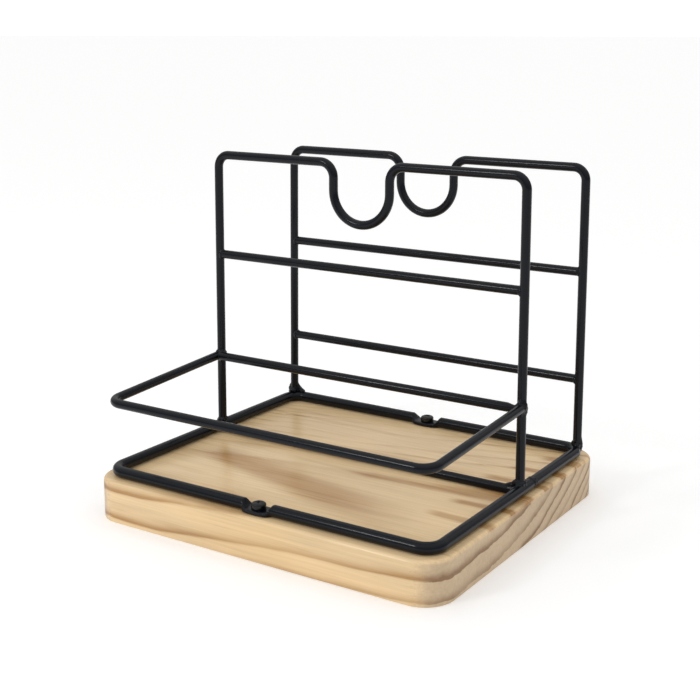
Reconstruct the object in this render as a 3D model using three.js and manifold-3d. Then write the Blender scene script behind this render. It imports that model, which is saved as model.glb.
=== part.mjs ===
// A wire caddy: a black wire frame of bent and welded wires, screwed to a pine board.
// Millimetres, +Z up, +X to the right, the rail reaches forward along -Y.
// The origin is the middle of the board's underside.

import * as THREE from 'three';
import { mergeVertices } from 'three/addons/utils/BufferGeometryUtils.js';
import Module from 'manifold-3d';

// ---- driving dimensions ----

const BOARD_WIDTH = 179;
const BOARD_DEPTH = 159;
const BOARD_THICKNESS = 19;
const BOARD_CORNER_RADIUS = 14;
const BOARD_EDGE_RADIUS = 1.5;

const RING_WIRE = 5; // diameters
const FRAME_WIRE = 4;

const FRONT_ARCH_Y = 6.6;
const REAR_ARCH_Y = 69.1;
const ARCH_TOP_HALF_WIDTH = 81.2; // wire sizes are to the centre line
const ARCH_FOOT_HALF_WIDTH = 82.2;
const FRONT_ARCH_TOP = 157.6;
const REAR_ARCH_DROP = 2.3;
const ARCH_CORNER_RADIUS = 6;
const DIP_HALF_WIDTH = 14.9;
const DIP_DEPTH = 27.4;
const DIP_SHOULDER_RADIUS = 7;
const REAR_DIP_OFFSET = -1.6; // the rear arch's dip sits a little left of the middle

const FRONT_BAR_Z = 109.2;
const REAR_UPPER_BAR_Z = 107.2;
const REAR_LOWER_BAR_Z = 56;

const RAIL_HALF_WIDTH = 82.4;
const RAIL_FRONT_Y = -73.6;
const RAIL_BACK_Z = 58.2;
const RAIL_DROOP = 4.2; // how much lower the rail's front is than its back
const RAIL_CORNER_RADIUS = 7;
const RAIL_BACK_BAR_SETBACK = 2.4; // in front of the front arch

const RING_HALF_WIDTH = 83.4;
const RING_FRONT_Y = -72.4;
const RING_REAR_Y = 70.1;
const RING_CORNER_RADIUS = 7.5;
const RING_SEAM_Y = 15.5; // the ring's butt weld, on its right side
const SEAM_COLLAR_RADIUS = 2.8;
const SEAM_COLLAR_LENGTH = 3;
const CROSS_WIRE_Y = 5;

const EYELET_HALF_FLAT = 4.5;
const EYELET_RAMP = 2.2;
const EYELET_THICKNESS = 2;
const EYELET_HALF_WIDTH = 3.9;
const EYELET_HALF_LENGTH = 6;
const EYELET_HOLE_RADIUS = 2;

const SCREW_HEAD_RADIUS = 3.25;
const SCREW_HEAD_HEIGHT = 2.6;
const SCREW_SHANK_RADIUS = 1.6;
const SCREW_LENGTH = 15; // below the head
const SCREW_POINT_LENGTH = 3;
const HEAD_RIM_SHARE = 0.35; // of the head's height that is upright, below the dome
const HEAD_CROWN_SHARE = 0.45; // of the head's radius that is flat, on top
const HEAD_DOME_STEPS = 6;
const RECESS_LENGTH = 3.6;
const RECESS_WIDTH = 0.9;
const RECESS_DEPTH = 1.2;
const PILOT_DEPTH = 16;

const REST_GAP = 0.1; // between a wire and the board that it lies on
const WELD_GAP = 0.3; // between two wires where one is welded to the other
const FIT_GAP = 0.3; // around a screw's shank

const WIRE_SIDES = 16;
const BEND_STEP = Math.PI / 14; // largest turn between two stations of a bend

// ---- values that follow from them ----

const RING_Z = BOARD_THICKNESS + REST_GAP + RING_WIRE / 2;
const FOOT_Z = RING_Z + RING_WIRE / 2 + WELD_GAP;
const CROSS_WIRE_Z = BOARD_THICKNESS + REST_GAP + FRAME_WIRE / 2;
const EYELET_TOP_Z = BOARD_THICKNESS + REST_GAP + EYELET_THICKNESS;
const CROSS_WIRE_HALF_LENGTH = RING_HALF_WIDTH - RING_WIRE / 2 - WELD_GAP;

// ---- materials ----

const finish = (color, roughness, metalness) => (
  new THREE.MeshStandardMaterial({ color, roughness, metalness }));
const pine = () => finish(0xdcbd90, 0.6, 0);
const blackCoat = () => finish(0x1f1f21, 0.5, 0);
const blackScrew = () => finish(0x232326, 0.4, 0.6);

// ---- joining and cutting closed solids ----

const wasm = await Module();
wasm.setup();

function toManifold(geometry) {
  const bare = geometry.index ? geometry.toNonIndexed() : geometry.clone();
  bare.deleteAttribute('normal');
  bare.deleteAttribute('uv');
  const merged = mergeVertices(bare, 1e-4);
  return new wasm.Manifold(new wasm.Mesh({
    numProp: 3,
    vertProperties: new Float32Array(merged.attributes.position.array),
    triVerts: new Uint32Array(merged.index.array),
  }));
}

function toGeometry(manifold) {
  const { vertProperties, triVerts, numProp } = manifold.getMesh();
  const positions = new Float32Array(triVerts.length * 3);
  triVerts.forEach((vertex, corner) => {
    for (let axis = 0; axis < 3; axis += 1) {
      positions[corner * 3 + axis] = vertProperties[vertex * numProp + axis];
    }
  });
  const geometry = new THREE.BufferGeometry();
  geometry.setAttribute('position', new THREE.BufferAttribute(positions, 3));
  geometry.computeVertexNormals();
  return geometry;
}

const join = (solids) => solids.reduce((whole, solid) => whole.add(solid));
const cut = (body, tools) => tools.reduce((rest, tool) => rest.subtract(tool), body);

// ---- simple solids ----

function box(sizeX, sizeY, sizeZ, x, y, z) {
  return toManifold(new THREE.BoxGeometry(sizeX, sizeY, sizeZ).translate(x, y, z));
}

// An upright cylinder between two heights. radiusY makes it oval.
function post(radius, fromZ, toZ, x, y, sides = 24, radiusY = radius) {
  const cylinder = new THREE.CylinderGeometry(radius, radius, toZ - fromZ, sides);
  cylinder.rotateX(Math.PI / 2);
  cylinder.scale(1, radiusY / radius, 1);
  return toManifold(cylinder.translate(x, y, (fromZ + toZ) / 2));
}

// ---- wires ----

// The centre line of a bent wire: straight runs between corners, and an arc at each corner.
// A corner is [point, bend radius]. The first and last points are the wire's ends.
class BentWire extends THREE.Curve {
  constructor(corners) {
    super();
    this.points = [];
    this.tangents = [];
    corners.forEach(([point, radius], i) => {
      if (i === 0 || i === corners.length - 1) this.addEnd(corners, i);
      else this.addBend(corners[i - 1][0], point, corners[i + 1][0], radius);
    });
    this.steps = this.points.length - 1;
  }

  addStation(point, tangent) {
    const last = this.points[this.points.length - 1];
    if (last && last.distanceTo(point) < 1e-3) return;
    this.points.push(point);
    this.tangents.push(tangent);
  }

  addEnd(corners, i) {
    const from = corners[Math.max(i - 1, 0)][0];
    const to = corners[Math.max(i, 1)][0];
    this.addStation(corners[i][0].clone(), to.clone().sub(from).normalize());
  }

  addBend(before, corner, after, radius) {
    const inward = corner.clone().sub(before).normalize();
    const outward = after.clone().sub(corner).normalize();
    const turn = inward.angleTo(outward);
    const start = corner.clone().addScaledVector(inward, -radius * Math.tan(turn / 2));
    const side = outward.clone().addScaledVector(inward, -outward.dot(inward)).normalize();
    const count = Math.ceil(turn / BEND_STEP);
    for (let i = 0; i <= count; i += 1) {
      const angle = turn * i / count;
      const point = start.clone().addScaledVector(inward, radius * Math.sin(angle));
      point.addScaledVector(side, radius * (1 - Math.cos(angle)));
      const tangent = inward.clone().multiplyScalar(Math.cos(angle));
      this.addStation(point, tangent.addScaledVector(side, Math.sin(angle)));
    }
  }

  getPointAt(u, target = new THREE.Vector3()) {
    return target.copy(this.points[Math.round(u * this.steps)]);
  }

  getTangentAt(u, target = new THREE.Vector3()) {
    return target.copy(this.tangents[Math.round(u * this.steps)]);
  }
}

function roundSection(diameter) {
  const section = new THREE.Shape();
  for (let i = 0; i < WIRE_SIDES; i += 1) {
    const angle = 2 * Math.PI * i / WIRE_SIDES;
    const x = diameter / 2 * Math.cos(angle);
    const y = diameter / 2 * Math.sin(angle);
    if (i === 0) section.moveTo(x, y);
    else section.lineTo(x, y);
  }
  section.closePath();
  return section;
}

function wireGeometry(corners, diameter) {
  const path = new BentWire(corners);
  return new THREE.ExtrudeGeometry(roundSection(diameter), {
    steps: path.steps,
    extrudePath: path,
    bevelEnabled: false,
  });
}

const at = (x, y, z) => new THREE.Vector3(x, y, z);

// ---- sub-parts ----

function roundedRectangle(width, depth, radius) {
  const shape = new THREE.Shape();
  const x = width / 2 - radius;
  const y = depth / 2 - radius;
  const quarter = Math.PI / 2;
  shape.absarc(x, y, radius, 0, quarter);
  shape.absarc(-x, y, radius, quarter, 2 * quarter);
  shape.absarc(-x, -y, radius, 2 * quarter, 3 * quarter);
  shape.absarc(x, -y, radius, 3 * quarter, 4 * quarter);
  return shape;
}

// The plank is extruded with both edges rounded, then sawn flat underneath and drilled for the screws.
function makeBoard() {
  const edge = BOARD_EDGE_RADIUS;
  const width = BOARD_WIDTH - 2 * edge;
  const depth = BOARD_DEPTH - 2 * edge;
  const outline = roundedRectangle(width, depth, BOARD_CORNER_RADIUS - edge);
  const plank = new THREE.ExtrudeGeometry(outline, {
    depth: BOARD_THICKNESS,
    curveSegments: 8,
    bevelSize: edge,
    bevelThickness: edge,
    bevelSegments: 3,
  });
  plank.translate(0, 0, -edge);
  const waste = box(2 * BOARD_WIDTH, 2 * BOARD_DEPTH, BOARD_THICKNESS, 0, 0, -BOARD_THICKNESS / 2);
  const pilotRadius = SCREW_SHANK_RADIUS + FIT_GAP;
  const pilots = [RING_FRONT_Y, RING_REAR_Y].map((y) => (
    post(pilotRadius, BOARD_THICKNESS - PILOT_DEPTH, BOARD_THICKNESS + 1, 0, y)));
  return toGeometry(cut(toManifold(plank), [waste, ...pilots]));
}

// What the press takes off the top of the ring's wire at an eyelet, and the lug that it spreads out.
function eyeletWaste(y) {
  const top = RING_Z + RING_WIRE;
  const slope = EYELET_RAMP / (RING_WIRE - EYELET_THICKNESS);
  const halfTop = EYELET_HALF_FLAT + slope * (top - EYELET_TOP_Z);
  const profile = new THREE.Shape([
    new THREE.Vector2(-EYELET_HALF_FLAT, EYELET_TOP_Z),
    new THREE.Vector2(EYELET_HALF_FLAT, EYELET_TOP_Z),
    new THREE.Vector2(halfTop, top),
    new THREE.Vector2(-halfTop, top),
  ]);
  const notch = new THREE.ExtrudeGeometry(profile, { depth: 2 * RING_WIRE, bevelEnabled: false });
  notch.rotateX(Math.PI / 2);
  return toManifold(notch.translate(0, y + RING_WIRE, 0));
}

function eyeletLug(y) {
  const low = BOARD_THICKNESS + REST_GAP;
  return post(EYELET_HALF_LENGTH, low, EYELET_TOP_Z, 0, y, 32, EYELET_HALF_WIDTH);
}

function makeRing() {
  const z = RING_Z;
  const right = RING_HALF_WIDTH;
  const loop = wireGeometry([
    [at(right, RING_SEAM_Y + WELD_GAP / 2, z)],
    [at(right, RING_REAR_Y, z), RING_CORNER_RADIUS],
    [at(-right, RING_REAR_Y, z), RING_CORNER_RADIUS],
    [at(-right, RING_FRONT_Y, z), RING_CORNER_RADIUS],
    [at(right, RING_FRONT_Y, z), RING_CORNER_RADIUS],
    [at(right, RING_SEAM_Y - WELD_GAP / 2, z)],
  ], RING_WIRE);
  const flash = SEAM_COLLAR_RADIUS;
  const collar = new THREE.CylinderGeometry(flash, flash, SEAM_COLLAR_LENGTH, WIRE_SIDES);
  collar.translate(right, RING_SEAM_Y, z + flash - RING_WIRE / 2 - REST_GAP / 2);
  const eyelets = [RING_FRONT_Y, RING_REAR_Y];
  const pressed = cut(join([toManifold(loop), toManifold(collar)]), eyelets.map(eyeletWaste));
  const holes = eyelets.map((y) => post(EYELET_HOLE_RADIUS, BOARD_THICKNESS, EYELET_TOP_Z + 1, 0, y));
  return toGeometry(cut(join([pressed, ...eyelets.map(eyeletLug)]), holes));
}

// The uprights spread a little towards their feet.
function archGeometry(y, topZ, dipOffset) {
  const top = ARCH_TOP_HALF_WIDTH;
  const foot = ARCH_FOOT_HALF_WIDTH;
  const left = dipOffset - DIP_HALF_WIDTH;
  const right = dipOffset + DIP_HALF_WIDTH;
  return wireGeometry([
    [at(-foot, y, FOOT_Z)],
    [at(-top, y, topZ), ARCH_CORNER_RADIUS],
    [at(left, y, topZ), DIP_SHOULDER_RADIUS],
    [at(left, y, topZ - DIP_DEPTH), DIP_HALF_WIDTH],
    [at(right, y, topZ - DIP_DEPTH), DIP_HALF_WIDTH],
    [at(right, y, topZ), DIP_SHOULDER_RADIUS],
    [at(top, y, topZ), ARCH_CORNER_RADIUS],
    [at(foot, y, FOOT_Z)],
  ], FRAME_WIRE);
}

const barGeometry = (halfLength, y, z) => (
  wireGeometry([[at(-halfLength, y, z)], [at(halfLength, y, z)]], FRAME_WIRE));

// A bar between an arch's uprights stops short of them by the weld's gap.
function archBarGeometry(y, z, topZ) {
  const down = (topZ - z) / (topZ - FOOT_Z);
  const upright = THREE.MathUtils.lerp(ARCH_TOP_HALF_WIDTH, ARCH_FOOT_HALF_WIDTH, down);
  return barGeometry(upright - FRAME_WIRE / 2 - WELD_GAP, y, z);
}

// The rail lies flat in its own group, whose origin is where its arms meet the uprights.
function railGeometry(reach) {
  const side = RAIL_HALF_WIDTH;
  return wireGeometry([
    [at(-side, 0, 0)],
    [at(-side, -reach, 0), RAIL_CORNER_RADIUS],
    [at(side, -reach, 0), RAIL_CORNER_RADIUS],
    [at(side, 0, 0)],
  ], FRAME_WIRE);
}

function makeRail(name) {
  const armY = FRONT_ARCH_Y - FRAME_WIRE / 2 - WELD_GAP;
  const forward = armY - RAIL_FRONT_Y;
  const rail = mesh(name, railGeometry(Math.hypot(forward, RAIL_DROOP)), blackCoat());
  const pivot = new THREE.Group();
  pivot.position.set(0, armY, RAIL_BACK_Z);
  pivot.rotation.x = Math.atan2(RAIL_DROOP, forward);
  pivot.add(rail);
  return pivot;
}

function screwProfile() {
  const r = SCREW_HEAD_RADIUS;
  const h = SCREW_HEAD_HEIGHT;
  const profile = [new THREE.Vector2(0, -SCREW_LENGTH)];
  profile.push(new THREE.Vector2(SCREW_SHANK_RADIUS, SCREW_POINT_LENGTH - SCREW_LENGTH));
  profile.push(new THREE.Vector2(SCREW_SHANK_RADIUS, 0));
  profile.push(new THREE.Vector2(r, 0));
  const side = HEAD_RIM_SHARE * h;
  const crown = HEAD_CROWN_SHARE * r;
  for (let i = 0; i <= HEAD_DOME_STEPS; i += 1) {
    const angle = Math.PI / 2 * i / HEAD_DOME_STEPS;
    const x = crown + (r - crown) * Math.cos(angle);
    profile.push(new THREE.Vector2(x, side + (h - side) * Math.sin(angle)));
  }
  profile.push(new THREE.Vector2(0, h));
  return profile;
}

function screwGeometry(y) {
  const body = new THREE.LatheGeometry(screwProfile(), 24).rotateX(Math.PI / 2);
  const top = SCREW_HEAD_HEIGHT;
  const recess = [
    box(RECESS_LENGTH, RECESS_WIDTH, 2 * RECESS_DEPTH, 0, 0, top),
    box(RECESS_WIDTH, RECESS_LENGTH, 2 * RECESS_DEPTH, 0, 0, top),
  ];
  const screw = toGeometry(cut(toManifold(body), recess));
  return screw.translate(0, y, EYELET_TOP_Z + REST_GAP);
}

// ---- assembly ----

function mesh(name, geometry, material) {
  const part = new THREE.Mesh(geometry, material);
  part.name = name;
  return part;
}

const caddy = new THREE.Group();
caddy.add(mesh('base_board', makeBoard(), pine()));
caddy.add(mesh('base_ring', makeRing(), blackCoat()));
caddy.add(mesh(
  'ring_cross_wire',
  barGeometry(CROSS_WIRE_HALF_LENGTH, CROSS_WIRE_Y, CROSS_WIRE_Z),
  blackCoat(),
));

const frontTop = FRONT_ARCH_TOP;
const rearTop = FRONT_ARCH_TOP - REAR_ARCH_DROP;
caddy.add(mesh('front_arch', archGeometry(FRONT_ARCH_Y, frontTop, 0), blackCoat()));
caddy.add(mesh('rear_arch', archGeometry(REAR_ARCH_Y, rearTop, REAR_DIP_OFFSET), blackCoat()));

const bars = [
  ['front_arch_bar', FRONT_ARCH_Y, FRONT_BAR_Z, frontTop],
  ['rail_back_bar', FRONT_ARCH_Y - RAIL_BACK_BAR_SETBACK, RAIL_BACK_Z, frontTop],
  ['rear_upper_bar', REAR_ARCH_Y, REAR_UPPER_BAR_Z, rearTop],
  ['rear_lower_bar', REAR_ARCH_Y, REAR_LOWER_BAR_Z, rearTop],
];
bars.forEach(([name, y, z, topZ]) => {
  caddy.add(mesh(name, archBarGeometry(y, z, topZ), blackCoat()));
});

caddy.add(makeRail('rail'));
caddy.add(mesh('front_screw', screwGeometry(RING_FRONT_Y), blackScrew()));
caddy.add(mesh('rear_screw', screwGeometry(RING_REAR_Y), blackScrew()));

export default caddy;
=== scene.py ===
# %% [markdown]
# # A wire caddy on a pine board
#
# The caddy is a frame of bent and welded steel wires, powder-coated black and screwed to a pine
# plank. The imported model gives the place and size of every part, and this lesson makes each one
# again with the detail that the real one has: smooth bends, pressed eyelets, weld beads, grained
# wood. The frame is loaded first, because every size below is read from it.

# %% Load the frame
import math
import random

import bmesh
import bpy
from mathutils import Matrix, Vector


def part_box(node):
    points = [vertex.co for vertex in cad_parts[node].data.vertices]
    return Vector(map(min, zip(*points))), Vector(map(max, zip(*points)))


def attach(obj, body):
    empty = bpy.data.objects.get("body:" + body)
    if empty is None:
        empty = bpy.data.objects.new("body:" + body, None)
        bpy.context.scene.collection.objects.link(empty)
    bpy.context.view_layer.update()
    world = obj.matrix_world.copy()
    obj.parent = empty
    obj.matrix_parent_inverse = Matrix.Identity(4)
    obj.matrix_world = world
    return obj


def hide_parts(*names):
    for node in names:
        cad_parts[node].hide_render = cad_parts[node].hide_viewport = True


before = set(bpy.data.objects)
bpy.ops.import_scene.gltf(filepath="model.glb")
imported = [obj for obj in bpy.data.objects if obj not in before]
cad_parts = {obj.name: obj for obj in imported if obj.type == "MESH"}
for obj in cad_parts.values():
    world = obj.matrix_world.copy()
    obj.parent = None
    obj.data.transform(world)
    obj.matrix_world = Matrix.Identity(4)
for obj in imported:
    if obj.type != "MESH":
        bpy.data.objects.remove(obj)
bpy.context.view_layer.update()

MM = 0.001
print("parts:", sorted(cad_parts))

# %% [markdown]
# ## The camera
#
# A caddy this small is seen from a little above its top bar, at a corner, from about half a metre.
# The camera could be aimed with a constraint, but a place, two angles and a lens say the same
# thing openly. The small vertical shift frames the object without tilting the camera, so the
# uprights stay upright.

# %% Set up the camera
CAMERA_PLACE = Vector((0.30148, -0.46745, 0.21778))
CAMERA_AZIMUTH = math.radians(32.98)
CAMERA_ELEVATION = math.radians(12.24)
CAMERA_ROLL = math.radians(0.06)
CAMERA_LENS = 64.72
CAMERA_SHIFT = (0.0007, -0.0721)

across = math.cos(CAMERA_ELEVATION)
toward_camera = Vector((
    math.sin(CAMERA_AZIMUTH) * across,
    -math.cos(CAMERA_AZIMUTH) * across,
    math.sin(CAMERA_ELEVATION),
))
lens = bpy.data.cameras.new("camera")
lens.lens = CAMERA_LENS
lens.shift_x, lens.shift_y = CAMERA_SHIFT
lens.clip_start = 0.01
camera = bpy.data.objects.new("camera", lens)
bpy.context.scene.collection.objects.link(camera)
camera.rotation_mode = "QUATERNION"
aim = (-toward_camera).to_track_quat("-Z", "Y")
camera.rotation_quaternion = aim @ Matrix.Rotation(CAMERA_ROLL, 3, "Z").to_quaternion()
camera.location = CAMERA_PLACE
bpy.context.scene.camera = camera
print("camera at", [round(v, 3) for v in CAMERA_PLACE], "lens", CAMERA_LENS)

# %% [markdown]
# ## Writing shader maths
#
# Wood and powder coat are made of patterns, and patterns are made of arithmetic. Adding Math nodes
# one at a time hides the formula, so a small class wraps an output socket and turns `a * b + 1`
# into nodes. Every other kind of node goes through one method, which takes its type, its settings
# and its inputs.

# %% A reading of a surface, and a finish made of readings
class Reading:
    """A value that varies over a surface. Sums on it add Math nodes."""

    def __init__(self, finish, socket):
        self.finish = finish
        self.socket = socket

    def maths(self, operation, *values):
        inputs = dict(enumerate(values))
        return self.finish.node("ShaderNodeMath", {"operation": operation}, inputs)

    def __add__(self, other):
        return self.maths("ADD", self, other)

    __radd__ = __add__

    def __sub__(self, other):
        return self.maths("SUBTRACT", self, other)

    def __rsub__(self, other):
        return self.maths("SUBTRACT", other, self)

    def __mul__(self, other):
        return self.maths("MULTIPLY", self, other)

    __rmul__ = __mul__

    def __truediv__(self, other):
        return self.maths("DIVIDE", self, other)

    def __pow__(self, other):
        return self.maths("POWER", self, other)

    def at_least(self, other):
        return self.maths("MAXIMUM", self, other)

    def whole(self):
        return self.maths("FLOOR", self)

    def size(self):
        return self.maths("ABSOLUTE", self)

    def remainder(self):
        return self.maths("FRACT", self)

    def ramp(self, low, high):
        """0 below low, 1 above high, and an even S between them."""
        return self.finish.node(
            "ShaderNodeMapRange",
            {"interpolation_type": "SMOOTHSTEP"},
            {"Value": self, "From Min": low, "From Max": high},
        )

    def part(self, name):
        """One of a vector's three numbers."""
        split = self.finish.node("ShaderNodeSeparateXYZ", {}, {0: self})
        return Reading(self.finish, split.socket.node.outputs[name])


class Finish:
    """A material built node by node around one Principled shader."""

    def __init__(self, name, **constants):
        self.material = bpy.data.materials.new(name)
        self.material.use_nodes = True
        self.nodes = self.material.node_tree.nodes
        self.links = self.material.node_tree.links
        self.shader = self.nodes["Principled BSDF"]
        for socket, value in constants.items():
            self.shader.inputs[socket.replace("_", " ")].default_value = value

    def join(self, value, socket):
        if isinstance(value, Reading):
            self.links.new(value.socket, socket)
        else:
            socket.default_value = value

    def node(self, kind, settings, values, output=0):
        made = self.nodes.new(kind)
        for name, setting in settings.items():
            setattr(made, name, setting)
        for name, value in values.items():
            self.join(value, made.inputs[name])
        return Reading(self, made.outputs[output])

    def place(self):
        """The point on the surface, in millimetres."""
        metres = self.node("ShaderNodeTexCoord", {}, {}, "Object")
        scale = {"operation": "SCALE"}
        return self.node("ShaderNodeVectorMath", scale, {0: metres, "Scale": 1000.0})

    def noise(self, place, per_mm, detail=2.0, roughness=0.5, start=(0.0, 0.0, 0.0)):
        """Cloudy noise from -0.5 to 0.5. per_mm is how fast it changes along each axis."""
        settings = {"operation": "MULTIPLY_ADD"}
        stretched = self.node(
            "ShaderNodeVectorMath", settings, {0: place, 1: per_mm, 2: start})
        values = {"Vector": stretched, "Scale": 1.0, "Detail": detail, "Roughness": roughness}
        return self.node("ShaderNodeTexNoise", {}, values) - 0.5

    def blend(self, amount, low, high):
        """A colour between two colours."""
        settings = {"data_type": "RGBA", "clamp_factor": True}
        mixed = self.node("ShaderNodeMix", settings, {})
        inputs = mixed.socket.node.inputs
        self.join(amount, inputs[0])
        for value, socket in ((low, inputs[6]), (high, inputs[7])):
            self.join(value, socket)
        return Reading(self, mixed.socket.node.outputs[2])

    def tint(self, colour, brightness):
        """A colour made lighter or darker by a reading."""
        settings = {"operation": "SCALE"}
        return self.node("ShaderNodeVectorMath", settings, {0: colour, "Scale": brightness})

    def feed(self, socket, value):
        self.join(value, self.shader.inputs[socket])

    def bump(self, height_mm):
        values = {"Height": height_mm, "Distance": MM, "Strength": 1.0}
        self.feed("Normal", self.node("ShaderNodeBump", {}, values))


print("a finish is a Principled shader with readings joined to it")

# %% [markdown]
# ## Pine
#
# A plank is cut from a log, so its ends show rings and its long faces show the same rings
# stretched out along the grain. Painting the two kinds of face apart would never meet at the
# edges. Instead the shader asks how far each point lies from the heart of the tree, a line outside
# the plank, and turns that distance into rings. Spring wood is pale and grows wide. Summer wood
# darkens slowly, then stops at once. The tree grew more slowly as it aged, so the rings crowd
# together away from the heart.
#
# Where a face lies almost along the rings, as the top does, their lines are wide and come and go,
# so they are faded near the top and broken up by noise. Two things lie over the rings. Golden
# patches mark wood with more resin. A few darker streaks run with the grain near the top face.
# Noise alone puts streaks anywhere, so these are listed one by one, and they die out with depth.

# %% Where the plank was cut from the log, in millimetres
HEART_Y = -42.5
HEART_Z = 161.0
HEART_DRIFT_Y = 0.314
HEART_DRIFT_Z = 0.058
MEASURED_END_X = 89.5
FIRST_RING_RADIUS = 150.5
RINGS_PER_MM = 0.101
RING_CROWDING = 0.0016
# Each ring's darkness follows from its number. Steps near the golden ratio keep neighbours unlike.
DARKNESS_STEP = 0.618
DARKNESS_START = 0.168

pine = Finish("pine", Specular_IOR_Level=0.5)
point = pine.place()
x, y, z = (point.part(axis) for axis in "XYZ")

wander = pine.noise(point, (0.011, 0.026, 0.026), 2.0, 0.45) * 7.0
ripple = pine.noise(point, (0.016, 0.17, 0.17), 4.0, 0.62) * 2.2
along = x - MEASURED_END_X
beside_heart = (y - HEART_Y - along * HEART_DRIFT_Y).at_least(0.0)
under_heart = HEART_Z - z + along * HEART_DRIFT_Z
radius = (beside_heart ** 2.0 + under_heart ** 2.0) ** 0.5 + ripple + wander
outward = radius - FIRST_RING_RADIUS
rings = outward * RINGS_PER_MM + outward * outward * RING_CROWDING
print("rings counted outward from radius", FIRST_RING_RADIUS, "mm")

# %% Spring and summer wood within each ring
season = rings.remainder()
end_grain = pine.node("ShaderNodeAttribute", {"attribute_name": "end_grain"}, {}, "Fac")
sharp_stop = season.ramp(0.965, 1.0)
soft_stop = season.ramp(0.86, 1.0)
stop = soft_stop + (sharp_stop - soft_stop) * end_grain
late = season.ramp(0.30, 0.97) * (1.0 - stop)
each_ring = (rings.whole() * DARKNESS_STEP + DARKNESS_START).remainder()
fading = pine.noise(point, (0.010, 0.05, 0.05), 3.0, 0.55, (7.0, 3.0, 1.0)) * 1.6 + 0.85
line = late ** (2.0 + each_ring * 1.6)
near_top = z.ramp(15.0, 18.8) * (1.0 - x.ramp(55.0, 88.0))
broken = pine.noise(point, (0.013, 0.035, 0.035), 3.0, 0.6, (1.0, 6.0, 4.0)) * 2.6 + 0.45
kept = 1.0 - near_top * (1.0 - broken.at_least(0.05))
summer_share = kept * (line + late * 0.25) * (each_ring * 0.85 + 0.42) * fading.at_least(0.55)
print("summer wood darkens slowly through each ring and stops at once")

# %% Fibres, resin ducts and slow changes of colour
fibre = pine.noise(point, (0.014, 0.75, 0.75), 4.0, 0.62)
fine_fibre = pine.noise(point, (0.045, 3.2, 3.2), 3.0, 0.6)
band = pine.noise(point, (0.010, 0.16, 0.16), 4.0, 0.62, (3.0, 8.0, 2.0))
cloud = pine.noise(point, (0.016, 0.020, 0.05), 2.0, 0.5, (2.0, 5.0, 9.0))
golden = pine.noise(point, (0.012, 0.040, 0.040), 2.0, 0.5, (5.0, 2.0, 7.0))
duct = pine.noise(point, (0.075, 2.4, 2.4), 1.0, 0.4, (4.0, 1.0, 6.0)).ramp(0.25, 0.36)
print("fibres, bands, clouds, patches and ducts are six noises stretched along the grain")

# %% Darker streaks near the top face
# Start and stop as (x, y), half widths at both, all in millimetres, and strength.
STREAKS = (
    ((-70, -21), (56, -48), (8, 17), 0.80),
    ((6, -9), (88, -4), (3, 4), 0.60),
    ((-70, 12), (60, 22), (2, 3), 0.35),
    ((58, -32), (105, -34), (3, 4), 0.80),
    ((60, -15), (105, -14), (3, 4), 0.95),
    ((62, 4), (105, 5), (3, 3), 0.80),
    ((58, 19), (105, 20), (3, 3), 0.90),
    ((64, 38), (105, 39), (3, 3), 0.85),
    ((70, 56), (105, 56), (3, 3), 0.80),
)
STREAK_DEPTHS = (8.0, 17.0)


def streak(start, stop, half_widths):
    """A darker streak along the grain, 1 in its middle and 0 outside it, at every depth."""
    share = (x - start[0]) * (1.0 / (stop[0] - start[0]))
    middle = share * (stop[1] - start[1]) + start[1]
    half_width = (share * (half_widths[1] - half_widths[0]) + half_widths[0]).at_least(1.0)
    aside = (y - middle + wander * 0.5 + band * 9.0).size() / half_width
    ends = share.ramp(-0.06, 0.14) * (1.0 - share.ramp(0.60, 1.10))
    return (1.0 - aside.ramp(0.25, 1.30)) * ends


streaks = sum(streak(*shape) * strength for *shape, strength in STREAKS)
streaks = streaks * (1.0 - end_grain) * z.ramp(*STREAK_DEPTHS)
print(len(STREAKS), "streaks")

# %% Mix the colours of the wood
SPRING = (0.805, 0.590, 0.335, 1.0)
SUMMER = (0.450, 0.245, 0.090, 1.0)
GOLDEN = (0.800, 0.540, 0.240, 1.0)
END_SPRING = (0.600, 0.450, 0.285, 1.0)
END_SUMMER = (0.270, 0.155, 0.075, 1.0)
browner = (band - 0.03).at_least(0.0) * 1.9 + streaks
long_colour = pine.blend(summer_share * (1.35 - near_top * 0.40) + browner, SPRING, SUMMER)
end_colour = pine.blend(summer_share * 1.10 + (band - 0.06).at_least(0.0), END_SPRING, END_SUMMER)
long_colour = pine.blend(golden.at_least(0.0) * 1.2, long_colour, GOLDEN)
wood_colour = pine.blend(end_grain, long_colour, end_colour)
shade = 1.02 + fibre * 0.40 + fine_fibre * 0.20 + cloud * 0.28 - duct * 0.16
pine.feed("Base Color", pine.tint(wood_colour, shade))
pine.feed("Roughness", 0.23 + fibre * 0.12 + summer_share * 0.05 + end_grain * 0.28)
pine.bump(fibre * 0.035 + fine_fibre * 0.025 - duct * 0.03 + summer_share * 0.015)
print("pine has", len(pine.nodes), "nodes")

# %% [markdown]
# ## Powder coat and blackened screws
#
# Powder coat is sprayed on as dust and baked until it flows, so it is smooth from afar and faintly
# pebbled close to, like orange peel. It has no metal in it, so the shader is a plain dark plastic
# with two sizes of bump. Over a weld the bumps are deeper, because the bead under the coat is
# rough. The screws are blackened steel, so theirs has metal in it and is rubbed a little brighter
# in spots.

# %% Powder coat
COAT_COLOUR = (0.0023, 0.0032, 0.0062)


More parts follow.
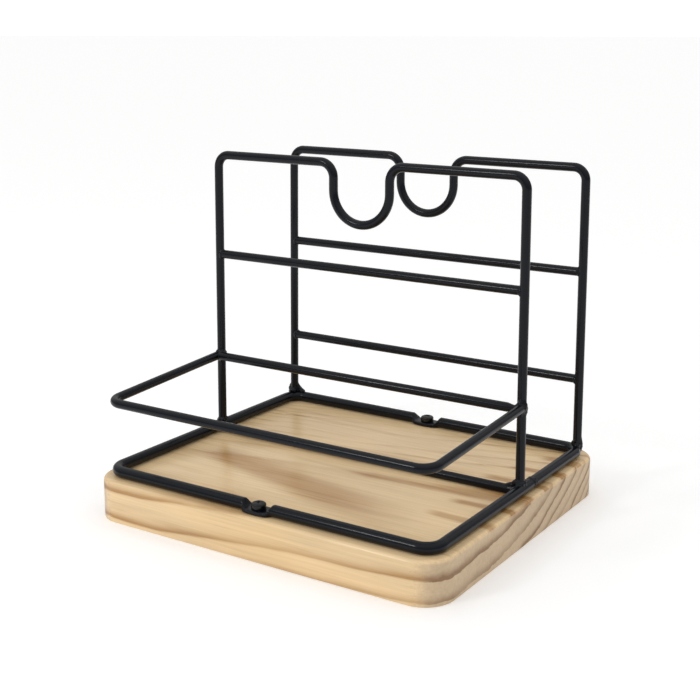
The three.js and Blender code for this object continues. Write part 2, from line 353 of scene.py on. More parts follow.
def powder_coat(name, peel_mm, gloss):
    coat = Finish(name, Specular_IOR_Level=0.22)
    point = coat.place()
    peel = coat.noise(point, (1.1, 1.1, 1.1), 2.0, 0.5)
    grit = coat.noise(point, (4.5, 4.5, 4.5), 2.0, 0.6)
    patch = coat.noise(point, (0.07, 0.07, 0.07), 3.0, 0.6)
    lightness = 1.0 + patch * 0.5 + grit * 0.35
    coat.feed("Base Color", coat.tint(COAT_COLOUR, lightness))
    coat.feed("Roughness", gloss + patch * 0.10 + grit * 0.12)
    coat.bump(peel * peel_mm + grit * 0.012)
    return coat.material


wire_coat = powder_coat("wire_coat", 0.026, 0.19)
weld_coat = powder_coat("weld_coat", 0.200, 0.16)
print("coats:", wire_coat.name, weld_coat.name)

# %% Blackened steel
steel = Finish("blackened_steel", Specular_IOR_Level=0.32)
point = steel.place()
lathe_marks = steel.noise(point, (2.5, 2.5, 9.0), 3.0, 0.6)
rubbed = steel.noise(point, (1.6, 1.6, 1.6), 3.0, 0.6).ramp(0.10, 0.30)
black, bare = (0.006, 0.006, 0.007, 1.0), (0.12, 0.115, 0.11, 1.0)
steel.feed("Base Color", steel.blend(rubbed * 0.35, black, bare))
steel.feed("Metallic", rubbed * 0.4)
steel.feed("Roughness", 0.20 + lathe_marks * 0.16)
steel.bump(lathe_marks * 0.02)
print("steel has", len(steel.nodes), "nodes")

# %% [markdown]
# ## Putting a finished mesh in the scene
#
# Every piece ends the same way: doubles merged, faces turned outwards, the mesh put in an object at
# the origin with its material, the object hung under the root body, and the part that it stands for
# hidden.

# %% Finish a piece
SHARP_CORNER = math.radians(38)


def put_in_scene(name, bm, material, stands_for=()):
    bmesh.ops.remove_doubles(bm, verts=bm.verts, dist=1e-7)
    bmesh.ops.recalc_face_normals(bm, faces=bm.faces)
    for face in bm.faces:
        face.smooth = True
    for edge in bm.edges:
        edge.smooth = not (len(edge.link_faces) == 2 and edge.calc_face_angle() > SHARP_CORNER)
    open_edges = sum(not edge.is_manifold for edge in bm.edges)
    mesh = bpy.data.meshes.new(name)
    bm.to_mesh(mesh)
    bm.free()
    mesh.materials.append(material)
    piece = bpy.data.objects.new(name, mesh)
    bpy.context.scene.collection.objects.link(piece)
    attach(piece, "root")
    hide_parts(*stands_for)
    print(f"{name}: {len(mesh.polygons)} faces, {open_edges} open edges")


def cut_away(bm, cutter):
    """The solid in bm less the solid in cutter, as a new bmesh."""
    objects = []
    for part, label in ((bm, "kept"), (cutter, "cutter")):
        bmesh.ops.recalc_face_normals(part, faces=part.faces)
        mesh = bpy.data.meshes.new(label)
        part.to_mesh(mesh)
        part.free()
        objects.append(bpy.data.objects.new(label, mesh))
        bpy.context.scene.collection.objects.link(objects[-1])
    kept, tool = objects
    boolean = kept.modifiers.new("cut", "BOOLEAN")
    boolean.operation = "DIFFERENCE"
    boolean.solver = "EXACT"
    boolean.object = tool
    result = bmesh.new()
    result.from_object(kept, bpy.context.evaluated_depsgraph_get())
    for spare in objects:
        bpy.data.objects.remove(spare)
    return result


print("corners sharper than", round(math.degrees(SHARP_CORNER)), "degrees stay crisp")

# %% [markdown]
# ## The plank
#
# A real plank is sawn square, its corners are rounded on a band saw and sander, and a router
# softens the top edge. The mesh follows the same order: a block, four upright edges bevelled, then
# the top edge, then a light sanding of the bottom edge. The pilot holes are drilled last. The
# shader needs to know where the saw crossed the grain, so each vertex stores how much it faces the
# plank's ends.

# %% Saw, round and drill the plank
PLANK_CORNER = 14 * MM
TOP_EDGE = 1.8 * MM
BOTTOM_EDGE = 0.5 * MM
HOLE_RADIUS = 1.5 * MM
HOLE_DEPTH = 15 * MM

plank_low, plank_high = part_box("base_board")
plank_size = plank_high - plank_low
plank_top = plank_high.z
screw_places = []
for node in ("front_screw", "rear_screw"):
    low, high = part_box(node)
    screw_places.append((low + high) / 2)


def soften(bm, edges, width, segments):
    bmesh.ops.bevel(
        bm, geom=edges, offset=width, offset_type="OFFSET", segments=segments,
        profile=0.5, affect="EDGES", material=-1, clamp_overlap=True)


def is_upright(edge):
    return abs(edge.verts[0].co.z - edge.verts[1].co.z) > plank_size.z / 2


def rim(bm, height):
    return [edge for edge in bm.edges if all(abs(v.co.z - height) < 1e-6 for v in edge.verts)]


plank = bmesh.new()
middle = Matrix.Translation((plank_low + plank_high) / 2)
bmesh.ops.create_cube(plank, size=1.0, matrix=middle @ Matrix.Diagonal((*plank_size, 1.0)))
soften(plank, [edge for edge in plank.edges if is_upright(edge)], PLANK_CORNER, 14)
soften(plank, rim(plank, plank_high.z), TOP_EDGE, 5)
soften(plank, rim(plank, plank_low.z), BOTTOM_EDGE, 3)

drills = bmesh.new()
for place in screw_places:
    spot = Vector((place.x, place.y, plank_top - HOLE_DEPTH / 2 + MM))
    bmesh.ops.create_cone(
        drills, cap_ends=True, segments=24, radius1=HOLE_RADIUS, radius2=HOLE_RADIUS,
        depth=HOLE_DEPTH + 2 * MM, matrix=Matrix.Translation(spot))
plank = cut_away(plank, drills)

# %% Mark the end grain on the plank
ends = plank.verts.layers.float.new("end_grain")
plank.normal_update()
for vertex in plank.verts:
    side_normals = [f.normal for f in vertex.link_faces if abs(f.normal.z) < 0.3]
    facing = max((abs(n.x) for n in side_normals), default=0.0)
    below_rim = min(1.0, (plank_top - vertex.co.z) / TOP_EDGE)
    share = min(max((facing - 0.2) / 0.6, 0.0), 1.0)
    vertex[ends] = share * share * (3 - 2 * share) * below_rim
put_in_scene("pine_plank", plank, pine.material, ["base_board"])

# %% [markdown]
# ## Bending a wire
#
# A wire bender pushes wire forward and rolls it round a die, over and over. The mesh is made the
# same way: a circle of edges is extruded for each straight run and spun for each bend. A curve
# with a round bevel would also work, but its bends would pinch, and its ends would be hard to
# press or weld. The coat makes every wire a little fatter than its steel. It is added to the
# radius, not put on as a second skin, which would hide a whole surface inside the first.

# %% The wire bender
WIRE_SIDES = 24
DEGREES_PER_STEP = 6
COAT = 0.07 * MM


class Wire:
    """A round wire, grown from one end."""

    def __init__(self, start, heading, radius):
        self.bm = bmesh.new()
        self.place = Vector(start)
        self.heading = Vector(heading).normalized()
        face_on = Vector((0, 0, 1)).rotation_difference(self.heading).to_matrix().to_4x4()
        made = bmesh.ops.create_circle(
            self.bm, segments=WIRE_SIDES, radius=radius + COAT,
            matrix=Matrix.Translation(self.place) @ face_on)
        self.end = list({edge for vert in made["verts"] for edge in vert.link_edges})

    def push(self, length):
        made = bmesh.ops.extrude_edge_only(self.bm, edges=self.end)["geom"]
        step = self.heading * length
        verts = [item for item in made if isinstance(item, bmesh.types.BMVert)]
        bmesh.ops.translate(self.bm, verts=verts, vec=step)
        self.end = self.free_edges(made)
        self.place = self.place + step

    def bend(self, new_heading, bend_radius):
        new_heading = Vector(new_heading).normalized()
        axis = self.heading.cross(new_heading).normalized()
        turn = self.heading.angle(new_heading)
        centre = self.place + axis.cross(self.heading) * bend_radius
        geometry = self.end + list({vert for edge in self.end for vert in edge.verts})
        steps = max(3, math.ceil(math.degrees(turn) / DEGREES_PER_STEP))
        made = bmesh.ops.spin(
            self.bm, geom=geometry, cent=centre, axis=axis, angle=turn, steps=steps,
            use_duplicate=False)["geom_last"]
        self.end = self.free_edges(made)
        self.place = centre + Matrix.Rotation(turn, 3, axis) @ (self.place - centre)
        self.heading = new_heading

    def free_edges(self, made):
        rings = [item for item in made if isinstance(item, bmesh.types.BMEdge)]
        return [edge for edge in rings if len(edge.link_faces) == 1]

    def follow(self, corners):
        """Runs on through (point, bend radius) corners to a last (point, 0)."""
        for here, after in zip(corners, corners[1:]):
            (corner, bend_radius), ahead = here, (Vector(after[0]) - Vector(here[0])).normalized()
            to_corner = Vector(corner) - self.place
            tangent = bend_radius * math.tan(self.heading.angle(ahead) / 2)
            if to_corner.length - tangent > 1e-6:
                self.push(to_corner.length - tangent)
            self.bend(ahead, bend_radius)
        self.push((Vector(corners[-1][0]) - self.place).length)

    def cap(self):
        borders = [edge for edge in self.bm.edges if len(edge.link_faces) == 1]
        bmesh.ops.holes_fill(self.bm, edges=borders, sides=0)
        return self.bm


def bent_wire(corners, radius):
    start, first = Vector(corners[0][0]), Vector(corners[1][0])
    wire = Wire(start, first - start, radius)
    if len(corners) == 2:
        wire.push((first - start).length)
    else:
        wire.follow(corners[1:])
    return wire


def coated_wire(name, corners, radius, stands_for):
    wire = bent_wire(corners, radius).cap()
    put_in_scene(name, wire, wire_coat, [stands_for])


print("wires have", WIRE_SIDES, "sides and a coat of", round(COAT / MM, 2), "mm")

# %% [markdown]
# ## The two arches
#
# Each arch is one wire: up, over, down into the dip where a fingertip reaches the paper, and back
# down. Its feet are sunk a little into the ring below, because the weld melts them together.

# %% Bend the arches
FRAME_RADIUS = 2 * MM
ARCH_CORNER = 6 * MM
ARCH_SPREAD = 1 * MM
DIP_HALF_WIDTH = 14.9 * MM
DIP_DEPTH = 27.4 * MM
DIP_SHOULDER = 7 * MM
REAR_DIP_OFFSET = -1.6 * MM
WELD_SINK = 1.2 * MM


def arch_frame(node):
    """Half width at the foot, height of the top wire, foot height and place along Y."""
    low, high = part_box(node)
    half_foot = (high.x - low.x) / 2 - FRAME_RADIUS
    return half_foot, high.z - FRAME_RADIUS, low.z, (low.y + high.y) / 2


def arch_corners(node, dip_middle):
    half_foot, top, foot, y = arch_frame(node)
    half_top = half_foot - ARCH_SPREAD
    left, right = dip_middle - DIP_HALF_WIDTH, dip_middle + DIP_HALF_WIDTH
    bottom = top - DIP_DEPTH
    return [
        ((-half_foot, y, foot - WELD_SINK), 0),
        ((-half_top, y, top), ARCH_CORNER),
        ((left, y, top), DIP_SHOULDER),
        ((left, y, bottom), DIP_HALF_WIDTH),
        ((right, y, bottom), DIP_HALF_WIDTH),
        ((right, y, top), DIP_SHOULDER),
        ((half_top, y, top), ARCH_CORNER),
        ((half_foot, y, foot - WELD_SINK), 0),
    ]


coated_wire("front_arch_wire", arch_corners("front_arch", 0), FRAME_RADIUS, "front_arch")
rear_corners = arch_corners("rear_arch", REAR_DIP_OFFSET)
coated_wire("rear_arch_wire", rear_corners, FRAME_RADIUS, "rear_arch")

# %% [markdown]
# ## The straight bars
#
# The bars are cut to length and butted against the uprights. Each runs a little into the upright,
# where the weld holds it. The rail's back bar and the cross wire are thinner at the right end,
# where the cutter nipped them. Their last ring of vertices is drawn in, which leaves a taper.

# %% Cut the bars
NIP_LENGTH = 4.6 * MM
NIP_WIDTH = 0.55


def bar_ends(node, sink):
    low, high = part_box(node)
    y, z = (low.y + high.y) / 2, (low.z + high.z) / 2
    return Vector((low.x - sink, y, z)), Vector((high.x + sink, y, z))


def cut_bar(name, bar, narrowed):
    """A straight bar. A narrowed one is nipped at its right end, where the cutter squeezed it."""
    start, stop = bar_ends(bar, WELD_SINK)
    nip = NIP_LENGTH if narrowed else 0
    wire = Wire(start, (1, 0, 0), FRAME_RADIUS)
    wire.push(stop.x - start.x - nip)
    if narrowed:
        wire.push(nip)
        rim_verts = list({vert for edge in wire.end for vert in edge.verts})
        shrink = (1, NIP_WIDTH, NIP_WIDTH)
        bmesh.ops.scale(wire.bm, verts=rim_verts, vec=shrink, space=Matrix.Translation(-wire.place))
    put_in_scene(name, wire.cap(), wire_coat, [bar])


for bar in ("front_arch_bar", "rear_upper_bar", "rear_lower_bar"):
    cut_bar(bar + "_wire", bar, False)
cut_bar("rail_back_wire", "rail_back_bar", True)
cut_bar("cross_wire", "ring_cross_wire", True)

# %% [markdown]
# ## The rail
#
# The rail is one U of wire whose open ends are welded to the front uprights. It droops a little
# towards the front, so its corners are worked out along that slope.

# %% Bend the rail
RAIL_CORNER = 7 * MM

rail_low, rail_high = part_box("rail")
rail_half = (rail_high.x - rail_low.x) / 2 - FRAME_RADIUS
rail_droop = (rail_high.z - rail_low.z) - 2 * FRAME_RADIUS
rail_slope = math.atan2(rail_droop, rail_high.y - rail_low.y - 2 * FRAME_RADIUS)
rail_front = Vector((0, rail_low.y + FRAME_RADIUS, rail_low.z + FRAME_RADIUS))
rail_back = Vector((0, rail_high.y + WELD_SINK, 0))
rail_back.z = rail_front.z + (rail_back.y - rail_front.y) * math.tan(rail_slope)
aside = Vector((rail_half, 0, 0))
coated_wire("rail_wire", [
    (rail_back - aside, 0),
    (rail_front - aside, RAIL_CORNER),
    (rail_front + aside, RAIL_CORNER),
    (rail_back + aside, 0),
], FRAME_RADIUS, "rail")
print("rail droops", round(rail_droop / MM, 1), "mm")

# %% [markdown]
# ## The ring, its eyelets and its seam
#
# The base ring is a thicker wire bent into a closed loop. Where a screw goes through, a press
# squeezes the wire flat against the bench: it gets thin, spreads sideways, and is then punched.
# The mesh is pressed too. Extra loops are cut across the wire with bisect_plane, then a die pushes
# the top down and the sides out. The loop closes at a butt weld on its right side.

# %% Bend the ring
RING_RADIUS = 2.5 * MM
RING_CORNER = 7.5 * MM
RING_SEAM_Y = 15.5 * MM
EYELET_THICKNESS = 2 * MM
EYELET_HOLE_RADIUS = 2 * MM

ring_low, ring_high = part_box("base_ring")
ring_z = ring_low.z + RING_RADIUS
ring_left = ring_low.x + RING_RADIUS
ring_right = -ring_left
front_y, rear_y = (place.y for place in screw_places)
ring = bent_wire([
    ((ring_right, RING_SEAM_Y, ring_z), 0),
    ((ring_right, rear_y, ring_z), RING_CORNER),
    ((ring_left, rear_y, ring_z), RING_CORNER),
    ((ring_left, front_y, ring_z), RING_CORNER),
    ((ring_right, front_y, ring_z), RING_CORNER),
    ((ring_right, RING_SEAM_Y, ring_z), 0),
], RING_RADIUS).bm
bmesh.ops.remove_doubles(ring, verts=ring.verts, dist=1e-6)
print("ring closed at its seam with", len(ring.verts), "vertices")

# %% Press and punch the eyelets
PRESS_SQUARENESS = 0.5
PRESS_REACH = 16 * MM
PRESS_LOOPS = 56
LUG_HALF_LENGTH = 7.4 * MM
LUG_HALF_WIDTH = 4.3 * MM
LUG_EDGE = RING_RADIUS * 1.06


def smooth_step(value, low, high):
    share = min(max((value - low) / (high - low), 0.0), 1.0)
    return share * share * (3 - 2 * share)


def press_eyelet(bm, middle, left_ramp, right_ramp):
    """Squeezes the ring's wire flat around middle. The ramps are (start, end) distances from it."""
    for i in range(PRESS_LOOPS + 1):
        x = middle.x - PRESS_REACH + 2 * PRESS_REACH * i / PRESS_LOOPS
        near = [v for v in bm.verts if abs(v.co.y - middle.y) < 2 * RING_RADIUS]
        edges = {e for v in near for e in v.link_edges}
        faces = {f for v in near for f in v.link_faces}
        bmesh.ops.bisect_plane(
            bm, geom=near + list(edges) + list(faces), dist=1e-6,
            plane_co=(x, 0, 0), plane_no=(1, 0, 0))
    for vert in bm.verts:
        offset = vert.co - middle
        if abs(offset.y) > 2 * RING_RADIUS or abs(offset.x) > PRESS_REACH:
            continue
        ramp = left_ramp if offset.x < 0 else right_ramp
        pressed = 1 - smooth_step(abs(offset.x), *ramp)
        if pressed == 0:
            continue
        tab = max(0.0, 1 - (offset.x / LUG_HALF_LENGTH) ** 2) ** 0.5
        half_width = LUG_EDGE + (LUG_HALF_WIDTH - LUG_EDGE) * tab
        out, up = offset.y / RING_RADIUS, offset.z / RING_RADIUS
        flat_out = math.copysign(abs(out) ** PRESS_SQUARENESS, out) * half_width
        flat_up = (1 + math.copysign(abs(up) ** PRESS_SQUARENESS, up)) * EYELET_THICKNESS / 2
        side = smooth_step(pressed, 0.0, 0.8)
        vert.co.y = middle.y + offset.y + (flat_out - offset.y) * side
        vert.co.z += (ring_low.z + flat_up - vert.co.z) * pressed


front_eye, rear_eye = (Vector((place.x, place.y, ring_z)) for place in screw_places)
press_eyelet(ring, front_eye, (5.9 * MM, 7.3 * MM), (5.6 * MM, 7.8 * MM))
press_eyelet(ring, rear_eye, (5.4 * MM, 8.0 * MM), (5.4 * MM, 8.0 * MM))

punches = bmesh.new()
for eye in (front_eye, rear_eye):
    bmesh.ops.create_cone(
        punches, cap_ends=True, segments=28, radius1=EYELET_HOLE_RADIUS,
        radius2=EYELET_HOLE_RADIUS, depth=20 * MM, matrix=Matrix.Translation(eye))
ring = cut_away(ring, punches)
put_in_scene("base_ring_wire", ring, wire_coat, ["base_ring"])

# %% [markdown]
# ## The screws
#
# A pan-head screw is a turned piece: its outline is drawn once and spun round its axis. The
# driver's cross is cut with two tapered blades, one after the other, because blades that cross
# each other make a cutter with no clear inside. Under the head the shank is plain all the way
# down. A real one is rolled with a thread, which the wood hides, so it is left out.

# %% Turn the screws
HEAD_DOME_STEPS = 8
SHANK_RADIUS = 1.5 * MM
TURN_STEPS = 40
BLADE_SIZE = (4.2 * MM, 1.05 * MM, 2.8 * MM)
BLADE_TAPER = 0.45


def screw_outline(head_radius, head_height, length):
    """Points from the tip up to the middle of the head, as (distance from the axis, height)."""
    points = [(0, -length), (SHANK_RADIUS * 0.45, -length + 1.6 * MM)]
    points += [(SHANK_RADIUS, -length + 3.2 * MM), (SHANK_RADIUS, 0)]
    points += [(head_radius * 0.94, 0), (head_radius, 0.18 * head_height)]
    crown, side = 0.42 * head_radius, 0.62 * head_height
    for i in range(HEAD_DOME_STEPS + 1):
        angle = math.pi / 2 * i / HEAD_DOME_STEPS
        out = crown + (head_radius - crown) * math.cos(angle)
        points.append((out, side + (head_height - side) * math.sin(angle)))
    points.append((0, head_height))
    return points


def turned(points, place):
    bm = bmesh.new()
    verts = [bm.verts.new((out, 0, height)) for out, height in points]
    edges = [bm.edges.new(pair) for pair in zip(verts, verts[1:])]
    bmesh.ops.spin(
        bm, geom=verts + edges, cent=(0, 0, 0), axis=(0, 0, 1), angle=math.tau,
        steps=TURN_STEPS, use_merge=True)
    bmesh.ops.remove_doubles(bm, verts=bm.verts, dist=1e-6)
    bmesh.ops.translate(bm, verts=bm.verts, vec=place)
    return bm


def driver_blade(top, turn):
    """One tapered blade of the driver's cross, pushed into the head's top."""
    blade = bmesh.new()
    spot = Matrix.Translation(top) @ Matrix.Rotation(turn, 4, "Z")
    size = Matrix.Diagonal((*BLADE_SIZE, 1))
    made = bmesh.ops.create_cube(blade, size=1.0, matrix=spot @ size)["verts"]
    low = [v for v in made if v.co.z < top.z]
    taper = (BLADE_TAPER, BLADE_TAPER, 1)
    bmesh.ops.scale(blade, verts=low, vec=taper, space=Matrix.Translation(-top))
    return blade


def make_screw(name, node, turn):
    low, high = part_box(node)
    seat = Vector(((low.x + high.x) / 2, (low.y + high.y) / 2, ring_low.z + EYELET_THICKNESS))
    head_radius = (high.x - low.x) / 2
    head_height = high.z - seat.z
    screw = turned(screw_outline(head_radius, head_height, seat.z - low.z), seat)
    crown = Vector((seat.x, seat.y, high.z))
    for quarter in (0, math.pi / 2):
        screw = cut_away(screw, driver_blade(crown, turn + quarter))
    put_in_scene(name, screw, steel.material, [node])


make_screw("front_screw_black", "front_screw", math.radians(28))
make_screw("rear_screw_black", "rear_screw", math.radians(64))

# %% [markdown]
# ## The welds
#
# A weld melts both wires and a little filler, and leaves a lumpy bead with a hollow fillet on each
# side. Spheres alone would look stuck on. So each joint is built from short stubs of the wires
# that meet there and a string of small drops, melted into one skin with a voxel remesh and then
# relaxed. Away from the joint the stubs lie just under the wires' own surface, so only the bead
# shows.

# %% Melt drops and stubs into a bead
STUB_INSET = 0.08 * MM
BEAD_VOXEL = 0.26 * MM
RELAX_ROUNDS = 7


def add_stub(bm, start, stop, radius):
    start, stop = Vector(start), Vector(stop)
    along = stop - start
    face_on = Vector((0, 0, 1)).rotation_difference(along).to_matrix().to_4x4()
    radius = radius + COAT - STUB_INSET
    bmesh.ops.create_cone(
        bm, cap_ends=True, segments=24, radius1=radius, radius2=radius,
        depth=along.length, matrix=Matrix.Translation((start + stop) / 2) @ face_on)


def add_drop(bm, place, radius):
    bmesh.ops.create_icosphere(
        bm, subdivisions=2, radius=radius, matrix=Matrix.Translation(Vector(place)))


def melt(name, bm):
    mesh = bpy.data.meshes.new(name)
    bm.to_mesh(mesh)
    bm.free()
    lump = bpy.data.objects.new(name, mesh)
    bpy.context.scene.collection.objects.link(lump)
    remesh = lump.modifiers.new("melt", "REMESH")
    remesh.mode = "VOXEL"
    remesh.voxel_size = BEAD_VOXEL
    melted = bmesh.new()
    melted.from_object(lump, bpy.context.evaluated_depsgraph_get())
    bpy.data.objects.remove(lump)
    for _ in range(RELAX_ROUNDS):
        bmesh.ops.smooth_vert(
            melted, verts=melted.verts, factor=0.5,
            use_axis_x=True, use_axis_y=True, use_axis_z=True)
    put_in_scene(name, melted, weld_coat)


def drops_round(bm, centre, axis, ring_radius, drop_radius, count, chance):
    """A ring of uneven drops around a joint."""
    axis = Vector(axis).normalized()
    out = axis.orthogonal().normalized()
    for i in range(count):
        angle = math.radians(360 * i / count)
        offset = Matrix.Rotation(angle, 3, axis) @ out * ring_radius
        jitter = Vector(chance.uniform(-0.25, 0.25) * MM for _ in range(3))
        add_drop(bm, Vector(centre) + offset + jitter, drop_radius * chance.uniform(0.8, 1.15))


def add_run(bm, joint, drops, side=1):
    """Drops given one by one, as (x, y, z, radius) in millimetres from the joint. side mirrors x.
    """
    for x, y, z, radius in drops:
        add_drop(bm, joint + Vector((side * x, y, z)) * MM, radius * MM)


print("beads are melted at", round(BEAD_VOXEL / MM, 2), "mm and relaxed", RELAX_ROUNDS, "times")

# %% Weld the bars to the uprights
STUB_LENGTH = 5 * MM


def upright_x(node, height):
    """How far out the middle of an arch's upright is at a height."""
    half_foot, top, foot, _ = arch_frame(node)
    return half_foot - ARCH_SPREAD * (height - foot) / (top - foot)


def weld_bar(name, arch, bar, side, chance):
    low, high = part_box(bar)
    arch_y = arch_frame(arch)[3]
    y, z = (low.y + high.y) / 2, (low.z + high.z) / 2
    out = side * upright_x(arch, z)
    joint = Vector((out, arch_y, z))
    bead = bmesh.new()
    up = Vector((0, 0, STUB_LENGTH))
    add_stub(bead, joint - up, joint + up, FRAME_RADIUS)
    inner = Vector((out - side * (FRAME_RADIUS + STUB_LENGTH), y, z))
    add_stub(bead, Vector((out, y, z)), inner, FRAME_RADIUS)
    seam = Vector((out - side * FRAME_RADIUS * 0.85, y, z))
    drops_round(bead, seam, (1, 0, 0), FRAME_RADIUS * 0.92, 0.75 * MM, 11, chance)
    melt(name, bead)


chance = random.Random(41)
for side, label in ((-1, "left"), (1, "right")):
    weld_bar(f"front_bar_weld_{label}", "front_arch", "front_arch_bar", side, chance)
    weld_bar(f"rear_upper_weld_{label}", "rear_arch", "rear_upper_bar", side, chance)
    weld_bar(f"rear_lower_weld_{label}", "rear_arch", "rear_lower_bar", side, chance)

# %% Weld the rail and its back bar to the front uprights
# The bead climbs the left upright, and laps round the outside of the right one.
RAIL_RUNS = {
    -1: [
        (-0.7, -1.6, 2.0, 1.4), (-0.5, -1.3, 3.3, 1.2), (-0.3, -1.0, 4.4, 1.0),
        (-1.0, -1.7, -1.7, 1.4), (0.8, -1.5, 1.6, 1.4), (-1.8, -1.5, 1.6, 1.3),
        (-2.6, -0.8, 1.4, 1.1), (0.9, -0.8, -1.2, 1.4),
    ],
    1: [
        (1.1, -0.6, 3.0, 1.3), (1.3, -0.4, 1.5, 1.6), (1.4, -0.3, 0.0, 1.7),
        (1.3, -0.2, -1.5, 1.6), (1.0, -0.2, -3.0, 1.4), (0.5, -1.9, 0.9, 1.8),
        (0.2, -1.6, 2.6, 1.4), (0.1, -1.3, 3.8, 1.1), (0.3, -1.5, -2.2, 1.4),
        (-0.9, -1.8, 1.0, 1.2), (0.1, -1.2, -3.4, 1.1),
    ],
}


def weld_rail(name, side, chance):
    _, _, _, arch_y = arch_frame("front_arch")
    low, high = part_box("rail_back_bar")
    bar_y, z = (low.y + high.y) / 2, (low.z + high.z) / 2
    out = side * upright_x("front_arch", z)
    joint = Vector((out, arch_y, z))
    arm = Vector((side * rail_half, rail_back.y, z))
    bead = bmesh.new()
    up = Vector((0, 0, STUB_LENGTH * 1.3))
    add_stub(bead, joint - up, joint + up, FRAME_RADIUS)
    slope_back = Vector((0, -math.cos(rail_slope), -math.sin(rail_slope)))
    add_stub(bead, arm, arm + slope_back * (STUB_LENGTH * 1.8), FRAME_RADIUS)
    bar_end = Vector((out, bar_y, z))
    bar_radius = FRAME_RADIUS if side < 0 else FRAME_RADIUS * NIP_WIDTH
    inward = Vector((side * (FRAME_RADIUS + STUB_LENGTH), 0, 0))
    add_stub(bead, bar_end, bar_end - inward, bar_radius)
    behind = joint + slope_back * FRAME_RADIUS * 0.9
    drops_round(bead, behind, slope_back, FRAME_RADIUS, 0.9 * MM, 10, chance)
    inner = joint - Vector((side * FRAME_RADIUS * 0.9, 0.4 * MM, 0))
    if side < 0:
        drops_round(bead, inner, (1, 0, 0), FRAME_RADIUS, 0.8 * MM, 10, chance)
    add_run(bead, joint, RAIL_RUNS[side], side)
    melt(name, bead)


for side, label in ((-1, "left"), (1, "right")):
    weld_rail(f"rail_weld_{label}", side, chance)

# %% Weld the feet to the ring
# The rear feet stand on the outside of the ring's bends, so their beads run down the outer side.
FOOT_RUNS = {
    ("front_arch", -1): [
        (1.2, -0.6, 0.6, 1.2), (1.0, 0.8, 0.5, 1.2), (-1.2, -1.6, 0.6, 1.2),
        (-1.2, 1.6, 0.6, 1.2), (0.2, -2.0, 0.5, 1.2), (0.2, 2.0, 0.5, 1.2),
    ],
    ("front_arch", 1): [
        (-1.7, -1.4, 0.2, 1.4), (0.0, -2.0, 0.4, 1.3), (1.3, -1.6, -0.3, 1.4),
        (1.4, 0.2, 0.1, 1.3), (1.2, 1.8, 0.2, 1.3), (-0.2, 2.1, 0.4, 1.2),
        (-2.6, -1.6, -0.9, 1.4), (-3.8, -1.6, -1.4, 1.5), (-5.0, -1.6, -1.9, 1.5),
        (0.2, -3.2, -0.4, 1.0),
    ],
    ("rear_arch", -1): [
        (1.9, 0.0, 1.0, 1.9), (1.7, 0.0, 2.6, 1.5), (1.1, 0.0, 4.2, 1.2),
        (1.9, 0.0, -0.8, 1.9), (-1.5, 0.6, 3.6, 1.0), (-1.7, 0.6, 2.4, 1.4),
        (-2.4, 0.8, 1.4, 1.5), (-3.4, 0.9, 0.5, 1.5), (-4.6, 0.9, -0.3, 1.6),
        (0.6, -1.9, 0.4, 1.4), (-1.2, -2.0, 0.6, 1.3), (0.4, 1.6, -0.8, 1.7),
    ],
    ("rear_arch", 1): [
        (0.3, 0.2, 3.6, 1.8), (0.5, 0.3, 2.4, 1.8), (0.7, 0.4, 1.2, 1.8),
        (0.9, 0.5, 0.0, 1.8), (0.9, 0.5, -1.2, 1.8), (0.8, 0.5, -2.2, 1.7),
        (0.7, 0.4, -2.9, 1.6), (0.6, -1.6, -0.6, 1.5), (-1.4, -0.8, 0.4, 1.4),
        (-1.6, 0.8, 0.2, 1.5), (-0.4, -1.6, 1.6, 1.0),
    ],
}


def weld_foot(name, arch, side, chance, cross_wire):
    half_foot, _, foot, y = arch_frame(arch)
    base = Vector((side * half_foot, y, foot))
    bead = bmesh.new()
    below, above = Vector((0, 0, 1.5 * MM)), Vector((0, 0, STUB_LENGTH * 1.4))
    add_stub(bead, base - below, base + above, FRAME_RADIUS)
    reach = Vector((0, STUB_LENGTH * 1.3, 0))
    on_ring = Vector((side * ring_right, y, ring_z))
    ring_end = min(y + reach.y, rear_y - RING_CORNER)
    add_stub(bead, on_ring - reach, Vector((on_ring.x, ring_end, ring_z)), RING_RADIUS)
    drop_size = 0.95 * MM if cross_wire else 0.7 * MM
    drops_round(bead, base, (0, 0, 1), FRAME_RADIUS * 0.95, drop_size, 11, chance)
    if cross_wire:
        low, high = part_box("ring_cross_wire")
        cross = Vector((side * ring_right, (low.y + high.y) / 2, (low.z + high.z) / 2))
        inner = cross - Vector((side * (RING_RADIUS + STUB_LENGTH * 1.2), 0, 0))
        add_stub(bead, cross, inner, FRAME_RADIUS)
        seam = cross - Vector((side * RING_RADIUS, 0, 0))
        drops_round(bead, seam, (1, 0, 0), FRAME_RADIUS * 0.8, 0.75 * MM, 10, chance)
    add_run(bead, base, FOOT_RUNS[arch, side], side)
    melt(name, bead)


for side, label in ((-1, "left"), (1, "right")):
    weld_foot(f"front_foot_weld_{label}", "front_arch", side, chance, True)
    weld_foot(f"rear_foot_weld_{label}", "rear_arch", side, chance, False)

# %% Weld the ring's seam
SEAM_REACH = 4 * MM
seam = bmesh.new()
seam_middle = Vector((ring_right, RING_SEAM_Y, ring_z))
half = Vector((0, SEAM_REACH, 0))
add_stub(seam, seam_middle - half, seam_middle + half, RING_RADIUS)
for shift, drop in ((-0.9, 0.72), (0.1, 0.58), (1.1, 0.75)):
    centre = seam_middle + Vector((0, shift * MM, 0.2 * MM))
    drops_round(seam, centre, (0.12, 1, 0), RING_RADIUS * 0.87, drop * MM, 20, chance)
melt("ring_seam_weld", seam)

# %% [markdown]
# ## Floor and light
#
# The caddy stands on a plain white table in a soft room that is brightest overhead. One soft lamp
# stands in front, a little to the left and about thirty degrees up, so it draws a line of light
# along each wire. The table glows a little, as a light table does, which keeps it white and sends
# light up under the wires. The backdrop is a stage trick that no real room has: seen directly it
# is plain white, while the wires and the wood are lit by the dimmer room and reflect that.

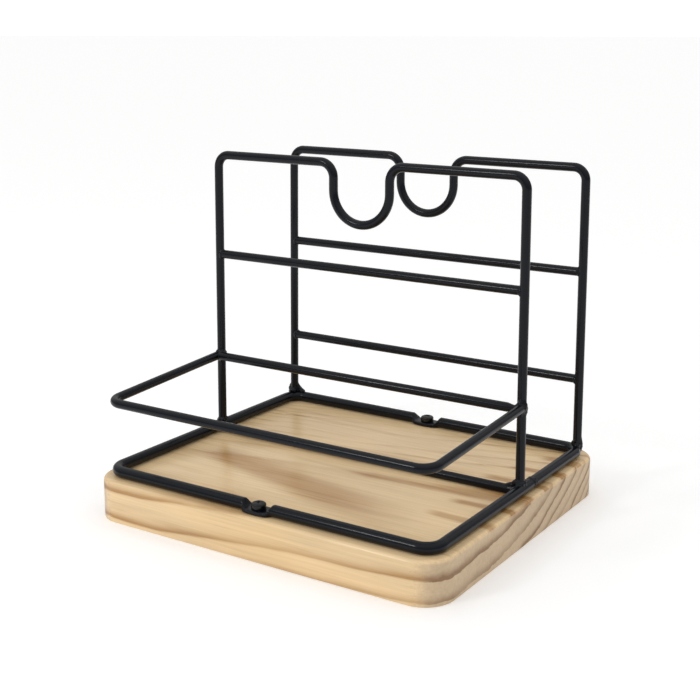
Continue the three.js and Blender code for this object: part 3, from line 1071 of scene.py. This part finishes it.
# %% Floor
FLOOR_GLOW = 0.19
floor_bm = bmesh.new()
bmesh.ops.create_circle(floor_bm, cap_ends=True, segments=96, radius=30.0)
floor_mesh = bpy.data.meshes.new("floor")
floor_bm.to_mesh(floor_mesh)
floor_bm.free()
floor_paint = Finish(
    "floor_paint", Roughness=0.9, Specular_IOR_Level=0.1, Emission_Strength=FLOOR_GLOW)
floor_paint.feed("Base Color", (0.92, 0.92, 0.92, 1.0))
floor_paint.feed("Emission Color", (1.0, 0.995, 0.985, 1.0))
floor_mesh.materials.append(floor_paint.material)
floor = bpy.data.objects.new("floor", floor_mesh)
bpy.context.scene.collection.objects.link(floor)
print("floor glows at", FLOOR_GLOW)

# %% Light
BACKDROP_LIGHT = 1.06
LOW_LIGHT = 0.30
OVERHEAD_EXTRA = 0.85
FRONT_EXTRA = 0.06


class Room(Finish):
    """The light from all round, built from readings of the direction it comes from."""

    def __init__(self, name):
        self.world = bpy.data.worlds.new(name)
        self.world.use_nodes = True
        self.nodes = self.world.node_tree.nodes
        self.links = self.world.node_tree.links
        self.shader = self.nodes["Background"]


room = Room("room")
direction = room.node("ShaderNodeTexCoord", {}, {}, "Generated")
up = direction.part("Z")
to_the_front = 1.0 - direction.part("Y") * FRONT_EXTRA
inside = (up.at_least(0.0) * OVERHEAD_EXTRA + LOW_LIGHT) * to_the_front
backdrop = room.node("ShaderNodeLightPath", {}, {}, "Is Camera Ray")
room.feed("Strength", inside + (BACKDROP_LIGHT - inside) * backdrop)
room.feed("Color", (1.0, 1.0, 1.0, 1.0))
bpy.context.scene.world = room.world


def soft_lamp(name, place, target, size, watts):
    lamp = bpy.data.lights.new(name, "AREA")
    lamp.shape = "SQUARE"
    lamp.size = size
    lamp.energy = watts
    holder = bpy.data.objects.new(name, lamp)
    bpy.context.scene.collection.objects.link(holder)
    holder.location = place
    holder.rotation_euler = (Vector(target) - Vector(place)).to_track_quat("-Z", "Y").to_euler()


soft_lamp("front_lamp", (-0.45, -0.97, 0.65), (0, 0, 0.06), 0.18, 2.1)
bpy.context.scene.view_settings.view_transform = "Standard"
print("lit by the room and one soft lamp")
